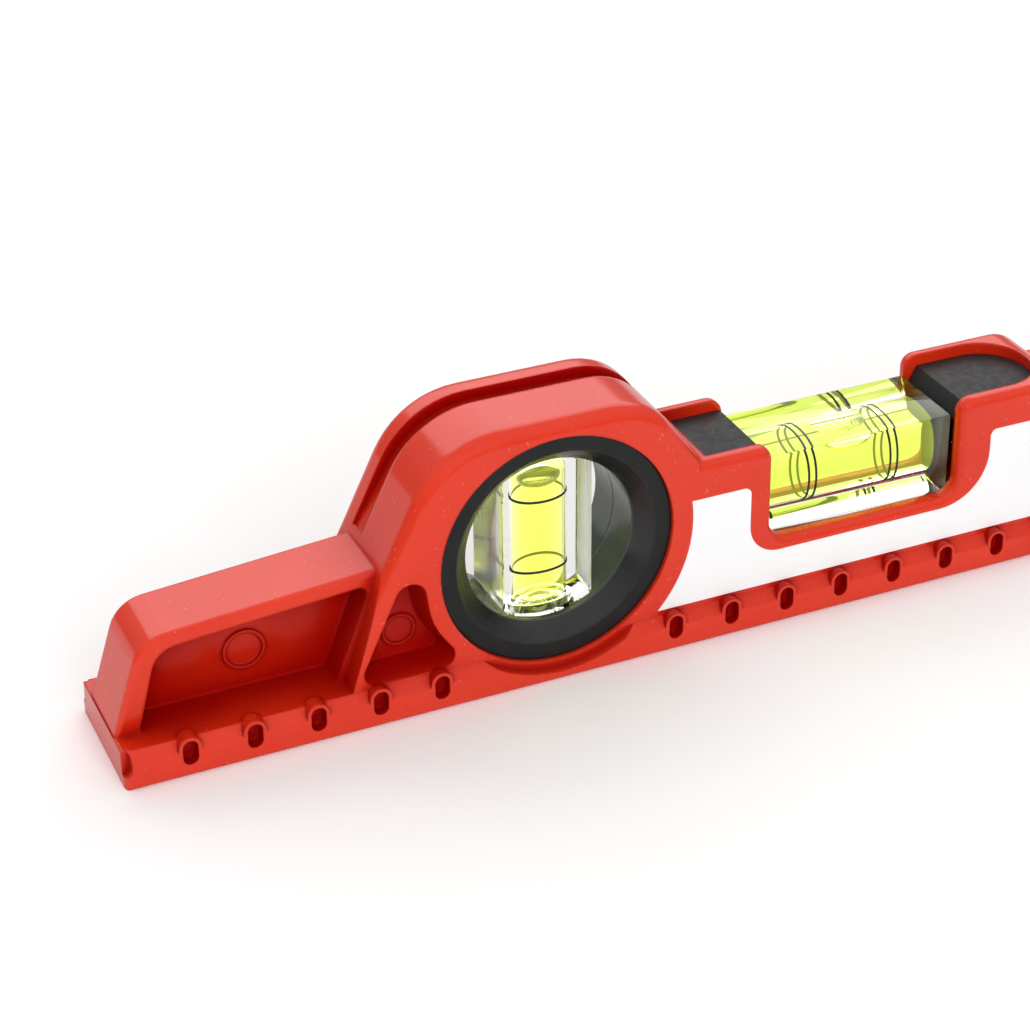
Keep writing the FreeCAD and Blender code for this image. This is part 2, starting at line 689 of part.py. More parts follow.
plumb_room = doc.addObject("Part::Ellipsoid", "plumb_bubble_room")
plumb_room.Placement.Base.y = 0
bind(plumb_room, "Radius2", "plumb_bubble_r")
bind(plumb_room, "Radius3", "plumb_bubble_r")
plumb_room.setExpression("Radius1", "Sizes.plumb_bubble_h / 2")
bind(plumb_room, "Placement.Base.x", "window_x")
bubble_height = reading(PLUMB_HIGH + " - bubble_gap")[1] + " - Sizes.plumb_bubble_h / 2"
plumb_room.setExpression("Placement.Base.z", bubble_height)

lines = []
for name, height in (("plumb_line_upper", "window_z + plumb_line_above"),
                     ("plumb_line_lower", "window_z - plumb_line_below")):
    outer = rod_upright(name + "_outer", "plumb_tube_r", height + " - line_half",
                        height + " + line_half", "window_x")
    inner = rod_upright(name + "_inner", "plumb_tube_r - line_depth",
                        height + " - line_half - 1", height + " + line_half + 1",
                        "window_x")
    lines.append(cut(name, outer, inner))
plumb_upper_line, plumb_lower_line = lines

plumb_column = rod_upright("plumb_column", "plumb_tube_r", PLUMB_LOW, PLUMB_HIGH,
                           "window_x")
plumb_voids = join("plumb_voids", [plumb_room] + lines)
plumb_fluid = cut("plumb_fluid", plumb_column, plumb_voids)
plumb_bubble = doc.addObject("Part::Ellipsoid", "plumb_bubble")
plumb_bubble.setExpression("Radius2", "Sizes.plumb_bubble_r - Sizes.bubble_gap / 2")
plumb_bubble.setExpression("Radius3", "Sizes.plumb_bubble_r - Sizes.bubble_gap / 2")
plumb_bubble.setExpression("Radius1", "Sizes.plumb_bubble_h / 2 - Sizes.bubble_gap / 2")
bind(plumb_bubble, "Placement.Base.x", "window_x")
plumb_bubble.setExpression("Placement.Base.z", bubble_height)

# Level vial: a clear rectangular block with a bored tube

level_blank = block("level_blank", "vial_left", "vial_right", "- vial_half", "vial_half",
                    "slot_floor", "vial_top")
doc.recompute()
level_bevelled = doc.addObject("Part::Chamfer", "level_bevelled")
level_bevelled.Base = level_blank
bevel = number("vial_chamfer")
level_bevelled.Edges = [(index, bevel, bevel) for index in range(1, 13)]
level_bore = rod_along_x("level_bore", "tube_r", "tube_left", "tube_right", "tube_z")
level_plug_bore = rod_along_x("level_plug_bore", "plug_r", "tube_right", "vial_right + 1",
                              "tube_z")
level_holes = join("level_holes", [level_bore, level_plug_bore])
level_block = cut("level_vial_block", level_bevelled, level_holes)
level_plug = rod_along_x("level_end_plug", "plug_r", "tube_right", "plug_end", "tube_z")


def line_pair(name, sign):
    rings = []
    for part, place_terms in (("inner", "line_inner"), ("outer", "line_outer")):
        middle = sign + place_terms
        outer = rod_along_x(name + "_" + part + "_rim", "tube_r", middle + " - line_half",
                            middle + " + line_half", "tube_z")
        inner = rod_along_x(name + "_" + part + "_hole", "tube_r - line_depth",
                            middle + " - line_half - 1", middle + " + line_half + 1",
                            "tube_z")
        rings.append(cut(name + "_" + part, outer, inner))
    return rings


left_rings = line_pair("left_line", "- ")
right_rings = line_pair("right_line", "")
level_lines_left = join("level_lines_left", left_rings)
level_lines_right = join("level_lines_right", right_rings)


def pill(name, allowance):
    # The level bubble: a rod with two round ends, flattened against the tube.
    radius = "bubble_r - " + allowance
    reach = "bubble_half - bubble_r"
    height = "tube_z + tube_r - bubble_gap - bubble_r"
    middle = rod_along_x(name + "_middle", radius, "- bubble_half + bubble_r", reach, height)
    parts = [middle]
    for end, terms in (("left", "- bubble_half + bubble_r"), ("right", reach)):
        ball = doc.addObject("Part::Sphere", name + "_" + end)
        bind(ball, "Radius", radius)
        bind(ball, "Placement.Base.x", terms)
        bind(ball, "Placement.Base.z", height)
        parts.append(ball)
    return join(name, parts)


level_room = pill("level_bubble_room", "0")
level_bubble = pill("level_bubble", "bubble_gap")
level_column = rod_along_x("level_column", "tube_r", "tube_left", "tube_right", "tube_z")
level_voids = join("level_voids", [level_room] + left_rings + right_rings)
level_fluid = cut("level_fluid", level_column, level_voids)

# Caps over the ends of the vial slot

left_cap_corners = [
    ("slot_left + cap_gap", "- slot_half + cap_gap"),
    ("left_cap_end", "- slot_half + cap_gap"),
    ("left_cap_end", "slot_half - cap_gap"),
    ("slot_left + cap_gap", "slot_half - cap_gap"),
]
left_cap, left_cap_pad = slab("left_cap", left_cap_corners, "cap_under", "cap_top", "XY_Plane")
cap_flat = block("cap_flat", "right_cap_end", "slot_right - slot_half",
                 "- slot_half + cap_gap", "slot_half - cap_gap", "right_cap_under", "cap_top")
cap_round = rod_upright("cap_round", "slot_half - cap_gap", "right_cap_under", "cap_top",
                        "slot_right - slot_half")
cap_blank = join("cap_blank", [cap_flat, cap_round])
bevel_corners = [
    ("right_cap_end - 1", "cap_top + 1"),
    ("right_cap_end - 1", "right_cap_under + cap_lip"),
    ("right_cap_end", "right_cap_under + cap_lip"),
    ("right_cap_end + cap_bevel", "cap_top"),
    ("right_cap_end + cap_bevel", "cap_top + 1"),
]
cap_bevel_tool, cap_bevel_pad = slab("cap_bevel_tool", bevel_corners, "- half_width",
                                     "half_width")
right_cap = cut("right_cap", cap_blank, cap_bevel_tool)

# Labels: thin skins on both faces of the plate

label_corners = [
    ("label_left", "label_low"),
    ("label_end_low_x", "label_low", "label_corner_r"),
    ("label_end_x", "label_end_z", "label_corner_r"),
    ("label_valley_x", "label_valley_z"),
    ("label_shoulder", "label_top", "label_corner_r"),
    ("label_right", "label_top", "label_corner_r"),
    ("label_right", "label_rail", "label_right_r"),
    ("label_strut", "label_rail", "label_strut_r"),
    ("label_strut", "label_top", "label_corner_r"),
    ("label_left", "label_top"),
]
label_skin, label_pad = slab("label_skin_blank", label_corners, "face", "face + label_skin")
label_hole = post("label_hole", "label_ring_r", "- half_width", "half_width", "window_x",
                  "window_z")
front_label = cut("front_label", label_skin, label_hole)
back_label = mirrored("back_label", front_label, ACROSS)

# Magnets in the base

magnets = []
for where, middle in MAGNETS:
    magnets.append(block("magnet_" + where, middle + " - magnet_half_x",
                         middle + " + magnet_half_x", "- magnet_half_y", "magnet_half_y",
                         "magnet_set", "magnet_high"))

doc.recompute()

# The finished pieces

PIECES = [
    ("casting", casting),
    ("plumb_bezel_front", front_bezel),
    ("plumb_bezel_back", back_bezel),
    ("plumb_vial_block", plumb_block),
    ("plumb_fluid", plumb_fluid),
    ("plumb_bubble", plumb_bubble),
    ("plumb_line_upper", plumb_upper_line),
    ("plumb_line_lower", plumb_lower_line),
    ("plumb_end_plug", plumb_plug),
    ("level_vial_block", level_block),
    ("level_fluid", level_fluid),
    ("level_bubble", level_bubble),
    ("level_lines_left", level_lines_left),
    ("level_lines_right", level_lines_right),
    ("level_end_plug", level_plug),
    ("left_cap", left_cap),
    ("right_cap", right_cap),
    ("front_label", front_label),
    ("back_label", back_label),
    ("magnet_left", magnets[0]),
    ("magnet_middle", magnets[1]),
    ("magnet_right", magnets[2]),
]

for thing in doc.Objects:
    for word in ("Invalid", "Error"):
        if word in thing.State:
            raise RuntimeError("%s is %s" % (thing.Name, word))

os.makedirs("parts", exist_ok=True)
for name, piece in PIECES:
    piece.Label = name
    shape = piece.Shape
    if shape.isNull() or not shape.isValid():
        raise RuntimeError("%s has no sound shape" % name)
    shape.exportStep("parts/%s.step" % name)
    box = shape.BoundBox
    print("%-20s solids %d  x %.1f..%.1f  y %.1f..%.1f  z %.1f..%.1f" % (
        name, len(shape.Solids), box.XMin, box.XMax, box.YMin, box.YMax, box.ZMin, box.ZMax))
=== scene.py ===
import math

import bpy
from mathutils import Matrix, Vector


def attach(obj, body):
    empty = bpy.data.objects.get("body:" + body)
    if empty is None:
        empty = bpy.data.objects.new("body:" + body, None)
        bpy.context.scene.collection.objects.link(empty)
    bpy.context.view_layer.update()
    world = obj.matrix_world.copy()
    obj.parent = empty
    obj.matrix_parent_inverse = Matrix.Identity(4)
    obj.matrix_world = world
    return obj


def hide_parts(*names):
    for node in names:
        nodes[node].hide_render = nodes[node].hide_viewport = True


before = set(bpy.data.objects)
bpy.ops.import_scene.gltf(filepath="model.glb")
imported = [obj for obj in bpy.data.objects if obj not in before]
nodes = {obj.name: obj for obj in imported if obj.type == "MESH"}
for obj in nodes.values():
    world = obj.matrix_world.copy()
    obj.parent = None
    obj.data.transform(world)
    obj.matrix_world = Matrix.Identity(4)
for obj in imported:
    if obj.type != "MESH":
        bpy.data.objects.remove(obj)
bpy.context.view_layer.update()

bpy.ops.object.select_all(action="DESELECT")


# Casting: die-cast aluminium in glossy red paint. Its colour is painted deeper and duller
# in the hollows as painted shade, and it carries a faint orange peel and a few small light
# specks.

def new_material(name):
    material = bpy.data.materials.new(name)
    material.use_nodes = True
    tree = material.node_tree
    shader = tree.nodes["Principled BSDF"]
    return material, tree, shader


def object_noise(tree, scale, detail, roughness=0.5):
    place = tree.nodes.new("ShaderNodeTexCoord")
    noise = tree.nodes.new("ShaderNodeTexNoise")
    noise.inputs["Scale"].default_value = scale
    noise.inputs["Detail"].default_value = detail
    noise.inputs["Roughness"].default_value = roughness
    tree.links.new(place.outputs["Object"], noise.inputs["Vector"])
    return noise


def ramp(tree, source, stops):
    node = tree.nodes.new("ShaderNodeValToRGB")
    first, last = node.color_ramp.elements[0], node.color_ramp.elements[1]
    first.position, first.color = stops[0]
    last.position, last.color = stops[-1]
    for position, colour in stops[1:-1]:
        element = node.color_ramp.elements.new(position)
        element.color = colour
    tree.links.new(source, node.inputs["Fac"])
    return node


def value_range(tree, source, low, high, to_low, to_high):
    node = tree.nodes.new("ShaderNodeMapRange")
    node.inputs["From Min"].default_value = low
    node.inputs["From Max"].default_value = high
    node.inputs["To Min"].default_value = to_low
    node.inputs["To Max"].default_value = to_high
    tree.links.new(source, node.inputs["Value"])
    return node.outputs["Result"]


def colour_mix(tree, factor, first, second):
    # Goes from first to second as factor goes from 0 to 1. Each is a colour or a socket.
    node = tree.nodes.new("ShaderNodeMix")
    node.data_type = "RGBA"
    tree.links.new(factor, node.inputs[0])
    for source, place in ((first, 6), (second, 7)):
        if isinstance(source, tuple):
            node.inputs[place].default_value = source
        else:
            tree.links.new(source, node.inputs[place])
    return node.outputs[2]


def soft_edges(tree, radius):
    edge = tree.nodes.new("ShaderNodeBevel")
    edge.samples = 6
    edge.inputs["Radius"].default_value = radius
    return edge


def add_bump(tree, shader, height, distance, normal=None, strength=1.0):
    bump = tree.nodes.new("ShaderNodeBump")
    bump.inputs["Strength"].default_value = strength
    bump.inputs["Distance"].default_value = distance
    tree.links.new(height, bump.inputs["Height"])
    if normal is not None:
        tree.links.new(normal, bump.inputs["Normal"])
    tree.links.new(bump.outputs["Normal"], shader.inputs["Normal"])
    return bump


SPECK_RED = (0.85, 0.26, 0.20, 1.0)
PAINTED_SHADE_RED = (0.34, 0.0015, 0.0008, 1.0)
PAINTED_SHADE_REACH = 0.015


def red_paint():
    material, tree, shader = new_material("red_paint")
    tone = object_noise(tree, 60.0, 3.0)
    colour = ramp(tree, tone.outputs["Fac"], [
        (0.30, (0.700, 0.026, 0.004, 1.0)),
        (0.70, (0.740, 0.031, 0.006, 1.0)),
    ])
    specks = object_noise(tree, 1900.0, 0.0)
    fleck = value_range(tree, specks.outputs["Fac"], 0.79, 0.84, 0.0, 0.30)
    speckled = colour_mix(tree, fleck, colour.outputs["Color"], SPECK_RED)
    # Painted shade: where the AO node finds hollows, the base colour goes to a deep dull red
    # and the specular level drops.
    shade_probe = tree.nodes.new("ShaderNodeAmbientOcclusion")
    shade_probe.samples = 8
    shade_probe.only_local = True
    shade_probe.inputs["Distance"].default_value = PAINTED_SHADE_REACH
    unshaded = value_range(tree, shade_probe.outputs["AO"], 0.48, 0.95, 0.0, 1.0)
    tree.links.new(colour_mix(tree, unshaded, PAINTED_SHADE_RED, speckled),
                   shader.inputs["Base Color"])
    rough = object_noise(tree, 40.0, 1.0)
    tree.links.new(value_range(tree, rough.outputs["Fac"], 0.3, 0.7, 0.14, 0.20),
                   shader.inputs["Roughness"])
    tree.links.new(value_range(tree, unshaded, 0.0, 1.0, 0.08, 0.50),
                   shader.inputs["Specular IOR Level"])
    edge = soft_edges(tree, 0.0007)
    peel = object_noise(tree, 260.0, 1.0)
    add_bump(tree, shader, peel.outputs["Fac"], 0.00004, edge.outputs["Normal"], 0.5)
    return material


def dress(node_name, material):
    mesh = nodes[node_name].data
    mesh.materials.clear()
    mesh.materials.append(material)
    for polygon in mesh.polygons:
        polygon.material_index = 0


dress("casting", red_paint())


# Bezels: black plastic rings around the window. The flat of each ring is matte, the
# cone and the sleeve behind it are glossy, and fine turning marks run round them.

WINDOW_MIDDLE = (-0.0546, 0.0, 0.02235)
SLEEVE_RADIUS = 0.01415
CONE_RADIUS = 0.0166
TURNING_MARKS = 9000.0

def bezel_plastic():
    material, tree, shader = new_material("bezel_plastic")
    tone = object_noise(tree, 300.0, 3.0)
    colour = ramp(tree, tone.outputs["Fac"], [
        (0.30, (0.007, 0.008, 0.008, 1.0)),
        (0.70, (0.011, 0.012, 0.012, 1.0)),
    ])
    place = tree.nodes.new("ShaderNodeTexCoord")
    centre = tree.nodes.new("ShaderNodeMapping")
    centre.inputs["Location"].default_value = [-value for value in WINDOW_MIDDLE]
    tree.links.new(place.outputs["Object"], centre.inputs["Vector"])
    flat = tree.nodes.new("ShaderNodeVectorMath")
    flat.operation = "MULTIPLY"
    flat.inputs[1].default_value = (1.0, 0.0, 1.0)
    tree.links.new(centre.outputs["Vector"], flat.inputs[0])
    length = tree.nodes.new("ShaderNodeVectorMath")
    length.operation = "LENGTH"
    tree.links.new(flat.outputs["Vector"], length.inputs[0])
    wave = tree.nodes.new("ShaderNodeMath")
    wave.operation = "MULTIPLY"
    wave.inputs[1].default_value = TURNING_MARKS
    tree.links.new(length.outputs["Value"], wave.inputs[0])
    sine = tree.nodes.new("ShaderNodeMath")
    sine.operation = "SINE"
    tree.links.new(wave.outputs["Value"], sine.inputs[0])
    edge = soft_edges(tree, 0.0004)
    add_bump(tree, shader, sine.outputs["Value"], 0.000003, edge.outputs["Normal"], 0.3)
    radius = length.outputs["Value"]
    rough = value_range(tree, radius, 0.0140, 0.0170, 0.16, 0.40)
    tree.links.new(rough, shader.inputs["Roughness"])
    tree.links.new(value_range(tree, radius, CONE_RADIUS, CONE_RADIUS + 0.0004, 0.62, 0.28),
                   shader.inputs["Specular IOR Level"])
    past_sleeve = value_range(tree, radius, SLEEVE_RADIUS, SLEEVE_RADIUS + 0.0002, 0.0, 1.0)
    # Painted reflection: the glossy sleeve, the same black plastic, is coloured a lighter
    # grey-green for the light and the liquid's green it shows.
    sleeve_painted_sheen = (0.060, 0.070, 0.062, 1.0)
    tree.links.new(colour_mix(tree, past_sleeve, sleeve_painted_sheen, colour.outputs["Color"]),
                   shader.inputs["Base Color"])
    return material


BEZEL = bezel_plastic()
for bezel_name in ("plumb_bezel_front", "plumb_bezel_back"):
    dress(bezel_name, BEZEL)


# Level vial: a clear block of acrylic, with polished faces and a fine bevel. Its ends get a
# dark opaque colour, a painted shade, and its bottom reflects. What is inside it are pieces
# of their own.

TUBE_AXIS = (0.0, 0.0, 0.0213)
LEVEL_BLOCK_LOW = (-0.0230, -0.0077, 0.01326)
LEVEL_BLOCK_HIGH = (0.0170, 0.0077, 0.0285)
PLAIN_FACE = 0.98
LARGE_FACE = 2e-5

def shaped_cube(name, low, high):
    bpy.ops.object.select_all(action="DESELECT")
    bpy.ops.mesh.primitive_cube_add(size=1.0)
    piece = bpy.context.object
    piece.name = name
    size = [b - a for a, b in zip(low, high)]
    middle = [(a + b) / 2 for a, b in zip(low, high)]
    piece.scale = size
    piece.location = middle
    bpy.ops.object.transform_apply(location=True, rotation=True, scale=True)
    return piece


def shaped_rod(name, radius, low, high, axis, middle, vertices=96):
    # A cylinder from low to high along "X", "Y" or "Z", through middle.
    bpy.ops.object.select_all(action="DESELECT")
    bpy.ops.mesh.primitive_cylinder_add(vertices=vertices, radius=radius, depth=high - low)
    piece = bpy.context.object
    piece.name = name
    place = Vector(middle)
    if axis == "X":
        piece.rotation_euler = (0.0, math.pi / 2, 0.0)
        place.x = (low + high) / 2
    elif axis == "Y":
        piece.rotation_euler = (math.pi / 2, 0.0, 0.0)
        place.y = (low + high) / 2
    else:
        place.z = (low + high) / 2
    piece.location = place
    bpy.ops.object.transform_apply(location=True, rotation=True, scale=True)
    return piece


def edit_faces(piece, wanted, steps):
    # Enters edit mode with the faces that wanted() accepts selected, runs steps.
    bpy.ops.object.select_all(action="DESELECT")
    piece.select_set(True)
    bpy.context.view_layer.objects.active = piece
    bpy.ops.object.mode_set(mode="EDIT")
    bpy.ops.mesh.select_mode(type="FACE")
    bpy.ops.mesh.select_all(action="DESELECT")
    bpy.ops.object.mode_set(mode="OBJECT")
    for polygon in piece.data.polygons:
        polygon.select = wanted(polygon)
    bpy.ops.object.mode_set(mode="EDIT")
    steps()
    bpy.ops.object.mode_set(mode="OBJECT")


def apply_bevel(piece, width, segments, angle=0.6):
    bevel = piece.modifiers.new("edge", "BEVEL")
    bevel.width = width
    bevel.segments = segments
    bevel.limit_method = "ANGLE"
    bevel.angle_limit = angle
    bpy.context.view_layer.objects.active = piece
    bpy.ops.object.modifier_apply(modifier="edge")


def smooth(piece, degrees=35.0):
    bpy.ops.object.select_all(action="DESELECT")
    piece.select_set(True)
    bpy.context.view_layer.objects.active = piece
    bpy.ops.object.shade_smooth_by_angle(angle=math.radians(degrees))


def boolean(piece, tool, operation):
    step = piece.modifiers.new("join", "BOOLEAN")
    step.operation = operation
    step.solver = "EXACT"
    step.object = tool
    bpy.ops.object.select_all(action="DESELECT")
    piece.select_set(True)
    bpy.context.view_layer.objects.active = piece
    bpy.ops.object.modifier_apply(modifier="join")
    bpy.data.objects.remove(tool)


def clear_material(name, ior, tint, rough_low=0.0, rough_high=0.02):
    material, tree, shader = new_material(name)
    shader.inputs["Transmission Weight"].default_value = 1.0
    shader.inputs["IOR"].default_value = ior
    haze = object_noise(tree, 400.0, 2.0)
    tree.links.new(value_range(tree, haze.outputs["Fac"], 0.45, 0.75, rough_low, rough_high),
                   shader.inputs["Roughness"])
    tone = object_noise(tree, 90.0, 1.0)
    colour = ramp(tree, tone.outputs["Fac"], [
        (0.3, tint),
        (0.7, tuple(min(1.0, channel * 1.02) for channel in tint[:3]) + (1.0,)),
    ])
    tree.links.new(colour.outputs["Color"], shader.inputs["Base Color"])
    return material


ACRYLIC = clear_material("clear_acrylic", 1.49, (0.965, 0.985, 0.975, 1.0), 0.0, 0.015)

level_block = shaped_cube("level_block", LEVEL_BLOCK_LOW, LEVEL_BLOCK_HIGH)
apply_bevel(level_block, 0.00030, 2)
smooth(level_block, 30.0)


def painted_end_shade():
    # Painted shade: a dark opaque colour on the block's end faces, for the shade seen there.
    material, tree, shader = new_material("painted_end_shade")
    grain = object_noise(tree, 500.0, 2.0)
    colour = ramp(tree, grain.outputs["Fac"], [
        (0.32, (0.008, 0.014, 0.011, 1.0)),
        (0.68, (0.026, 0.036, 0.030, 1.0)),
    ])
    tree.links.new(colour.outputs["Color"], shader.inputs["Base Color"])
    shader.inputs["Roughness"].default_value = 0.40
    shader.inputs["Specular IOR Level"].default_value = 0.15
    return material


def mirror_foil():
    # The reflecting foil under the block, which sends the daylight back up.
    material, tree, shader = new_material("mirror_foil")
    grain = object_noise(tree, 300.0, 2.0)
    colour = ramp(tree, grain.outputs["Fac"], [
        (0.30, (0.90, 0.91, 0.92, 1.0)),
        (0.70, (0.95, 0.96, 0.97, 1.0)),
    ])
    tree.links.new(colour.outputs["Color"], shader.inputs["Base Color"])
    shader.inputs["Metallic"].default_value = 1.0
    shader.inputs["Roughness"].default_value = 0.03
    return material


level_block.data.materials.append(ACRYLIC)
level_block.data.materials.append(painted_end_shade())
level_block.data.materials.append(mirror_foil())
for polygon in level_block.data.polygons:
    if polygon.area > LARGE_FACE and abs(polygon.normal.x) > PLAIN_FACE:
        polygon.material_index = 1
    elif polygon.area > LARGE_FACE and polygon.normal.z < -PLAIN_FACE:
        polygon.material_index = 2
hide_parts("level_vial_block")
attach(level_block, "level")


# Level liquid: a round column of yellow-green liquid. Its colour deepens with depth,
# and it is given a faint emission, a painted glow for light the liquid gathers from the
# room.

def liquid_material(name, ior, tint, density, painted_glow):
    material, tree, shader = new_material(name)
    shader.inputs["Transmission Weight"].default_value = 1.0
    shader.inputs["IOR"].default_value = ior
    shader.inputs["Roughness"].default_value = 0.0
    shader.inputs["Base Color"].default_value = (0.99, 1.0, 0.88, 1.0)
    tone = object_noise(tree, 120.0, 2.0)
    light = ramp(tree, tone.outputs["Fac"], [
        (0.3, (0.80, 0.98, 0.02, 1.0)),
        (0.7, (0.88, 1.00, 0.04, 1.0)),
    ])
    # Painted glow: this emission colour and strength stand in for light the liquid gathers;
    # the liquid is no lamp.
    tree.links.new(light.outputs["Color"], shader.inputs["Emission Color"])
    shader.inputs["Emission Strength"].default_value = painted_glow
    absorb = tree.nodes.new("ShaderNodeVolumeAbsorption")
    absorb.inputs["Color"].default_value = tint
    absorb.inputs["Density"].default_value = density
    output = tree.nodes["Material Output"]
    tree.links.new(absorb.outputs["Volume"], output.inputs["Volume"])
    return material


LEVEL_LIQUID = liquid_material("level_liquid", 0.945, (0.90, 0.98, 0.08, 1.0), 220.0, 0.14)
PLUMB_LIQUID = liquid_material("plumb_liquid", 0.945, (0.985, 0.98, 0.13, 1.0), 190.0, 0.12)
LEVEL_TUBE_RADIUS = 0.00450
LEVEL_TUBE_LEFT = -0.0195
LEVEL_TUBE_RIGHT = 0.0152

level_liquid = shaped_rod("level_liquid", LEVEL_TUBE_RADIUS, LEVEL_TUBE_LEFT,
                          LEVEL_TUBE_RIGHT, "X", TUBE_AXIS)
apply_bevel(level_liquid, 0.0006, 4)
smooth(level_liquid)
level_liquid.data.materials.append(LEVEL_LIQUID)
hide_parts("level_fluid")
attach(level_liquid, "level")


# Bubbles: air in the liquid. The level bubble is a long lens under the top of its
# tube, and the plumb bubble is a dome under the top of its own.

AIR = clear_material("air_bubble", 0.66, (0.99, 1.0, 0.98, 1.0), 0.0, 0.004)


def shaped_ball(name, radius, middle, segments=64, rings=32):
    bpy.ops.object.select_all(action="DESELECT")
    bpy.ops.mesh.primitive_uv_sphere_add(segments=segments, ring_count=rings, radius=radius)
    piece = bpy.context.object
    piece.name = name
    piece.location = middle
    bpy.ops.object.transform_apply(location=True, rotation=True, scale=True)
    return piece


def on_part(middle, wanted):
    return lambda polygon: wanted(polygon.center - Vector(middle))


def squeezed(factors, middle):
    return lambda: bpy.ops.transform.resize(value=factors, center_override=middle)


LENS_MIDDLE = (0.0, 0.0, 0.0257)
level_bubble = shaped_ball("level_air", 0.0047, LENS_MIDDLE)
edit_faces(level_bubble, lambda polygon: True, squeezed((1.0, 0.66, 0.44), LENS_MIDDLE))
tube_inside = shaped_rod("tube_inside", LEVEL_TUBE_RADIUS - 0.00010, -0.0060, 0.0060, "X",
                         TUBE_AXIS, 128)
boolean(level_bubble, tube_inside, "INTERSECT")
apply_bevel(level_bubble, 0.00010, 2, 0.5)
smooth(level_bubble, 60.0)
level_bubble.data.materials.append(AIR)
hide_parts("level_bubble")
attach(level_bubble, "level_bubble")

DOME_MIDDLE = (WINDOW_MIDDLE[0], 0.0, 0.0314)
plumb_bubble = shaped_ball("plumb_air", 0.0038, DOME_MIDDLE)
edit_faces(plumb_bubble, on_part(DOME_MIDDLE, lambda spot: spot.z > 0.0),
           squeezed((1.0, 1.0, 0.38), DOME_MIDDLE))
edit_faces(plumb_bubble, on_part(DOME_MIDDLE, lambda spot: spot.z < 0.0),
           squeezed((1.0, 1.0, 0.46), DOME_MIDDLE))
smooth(plumb_bubble, 60.0)
plumb_bubble.data.materials.append(AIR)
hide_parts("plumb_bubble")
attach(plumb_bubble, "plumb_bubble")


# Vial lines: black rings printed on the tubes, two pairs on the level vial and two
# single ones on the plumb vial.

def line_ink():
    material, tree, shader = new_material("line_ink")
    tone = object_noise(tree, 1500.0, 2.0)
    colour = ramp(tree, tone.outputs["Fac"], [
        (0.3, (0.001, 0.002, 0.001, 1.0)),
        (0.7, (0.003, 0.004, 0.003, 1.0)),
    ])
    tree.links.new(colour.outputs["Color"], shader.inputs["Base Color"])
    shader.inputs["Roughness"].default_value = 0.9
    shader.inputs["Specular IOR Level"].default_value = 0.0
    return material


INK = line_ink()
for line_name in ("level_lines_left", "level_lines_right",
                  "plumb_line_upper", "plumb_line_lower"):
    dress(line_name, INK)


# Level plug: a short clear cylinder in the right end of the block, with a rounded
# rim and a dimple, seen beside the block's end.

LEVEL_PLUG_RADIUS = 0.00322
LEVEL_PLUG_LEFT = LEVEL_BLOCK_HIGH[0] + 0.00004
LEVEL_PLUG_RIGHT = 0.0213

level_plug = shaped_rod("level_plug", LEVEL_PLUG_RADIUS, LEVEL_PLUG_LEFT,
                        LEVEL_PLUG_RIGHT, "X", TUBE_AXIS, 64)
edit_faces(level_plug, lambda polygon: polygon.normal.x > 0.9, lambda: (
    bpy.ops.mesh.inset(thickness=0.0012),
    bpy.ops.transform.translate(value=(-0.0007, 0.0, 0.0))))
apply_bevel(level_plug, 0.0004, 3)
smooth(level_plug)
PLUG = clear_material("plug_acrylic", 1.49, (0.90, 0.98, 0.86, 1.0), 0.0, 0.02)
level_plug.data.materials.append(PLUG)
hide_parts("level_end_plug")
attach(level_plug, "level")


# Plumb vial: a clear block with round ends that stands in the window, with its
# yellow liquid. Its two upright sides are ground, so they look pale and clouded.

def ground_side():
    material, tree, shader = new_material("ground_side")
    place = tree.nodes.new("ShaderNodeTexCoord")
    stretch = tree.nodes.new("ShaderNodeMapping")
    stretch.inputs["Scale"].default_value = (60.0, 420.0, 60.0)
    cloud = tree.nodes.new("ShaderNodeTexNoise")
    cloud.inputs["Scale"].default_value = 1.0
    cloud.inputs["Detail"].default_value = 2.0
    tree.links.new(place.outputs["Object"], stretch.inputs["Vector"])
    tree.links.new(stretch.outputs["Vector"], cloud.inputs["Vector"])
    colour = ramp(tree, cloud.outputs["Fac"], [
        (0.32, (0.66, 0.72, 0.76, 1.0)),
        (0.50, (0.90, 0.92, 0.97, 1.0)),
        (0.68, (0.96, 0.97, 1.00, 1.0)),
    ])
    tree.links.new(colour.outputs["Color"], shader.inputs["Base Color"])
    tree.links.new(value_range(tree, cloud.outputs["Fac"], 0.3, 0.7, 0.25, 0.45),
                   shader.inputs["Roughness"])
    shader.inputs["Transmission Weight"].default_value = 0.60
    shader.inputs["IOR"].default_value = 1.10
    return material


PLUMB_BLOCK_LOW = (-0.0622, -0.0060, 0.0080)
PLUMB_BLOCK_HIGH = (-0.0470, 0.0060, 0.0367)
PLUMB_BLOCK_RADIUS = 0.01405

plumb_block = shaped_cube("plumb_block", PLUMB_BLOCK_LOW, PLUMB_BLOCK_HIGH)
plumb_round = shaped_rod("plumb_round", PLUMB_BLOCK_RADIUS, -0.007, 0.007, "Y",
                         WINDOW_MIDDLE, 160)
boolean(plumb_block, plumb_round, "INTERSECT")
apply_bevel(plumb_block, 0.0004, 2, 0.9)
smooth(plumb_block, 25.0)
plumb_block.data.materials.append(ACRYLIC)
plumb_block.data.materials.append(ground_side())
for polygon in plumb_block.data.polygons:
    upright = abs(polygon.normal.x) > PLAIN_FACE and polygon.area > LARGE_FACE
    polygon.material_index = 1 if upright else 0
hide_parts("plumb_vial_block")
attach(plumb_block, "level")

PLUMB_TUBE_RADIUS = 0.00445
PLUMB_TUBE_BOTTOM = 0.0106
PLUMB_TUBE_TOP = 0.03298

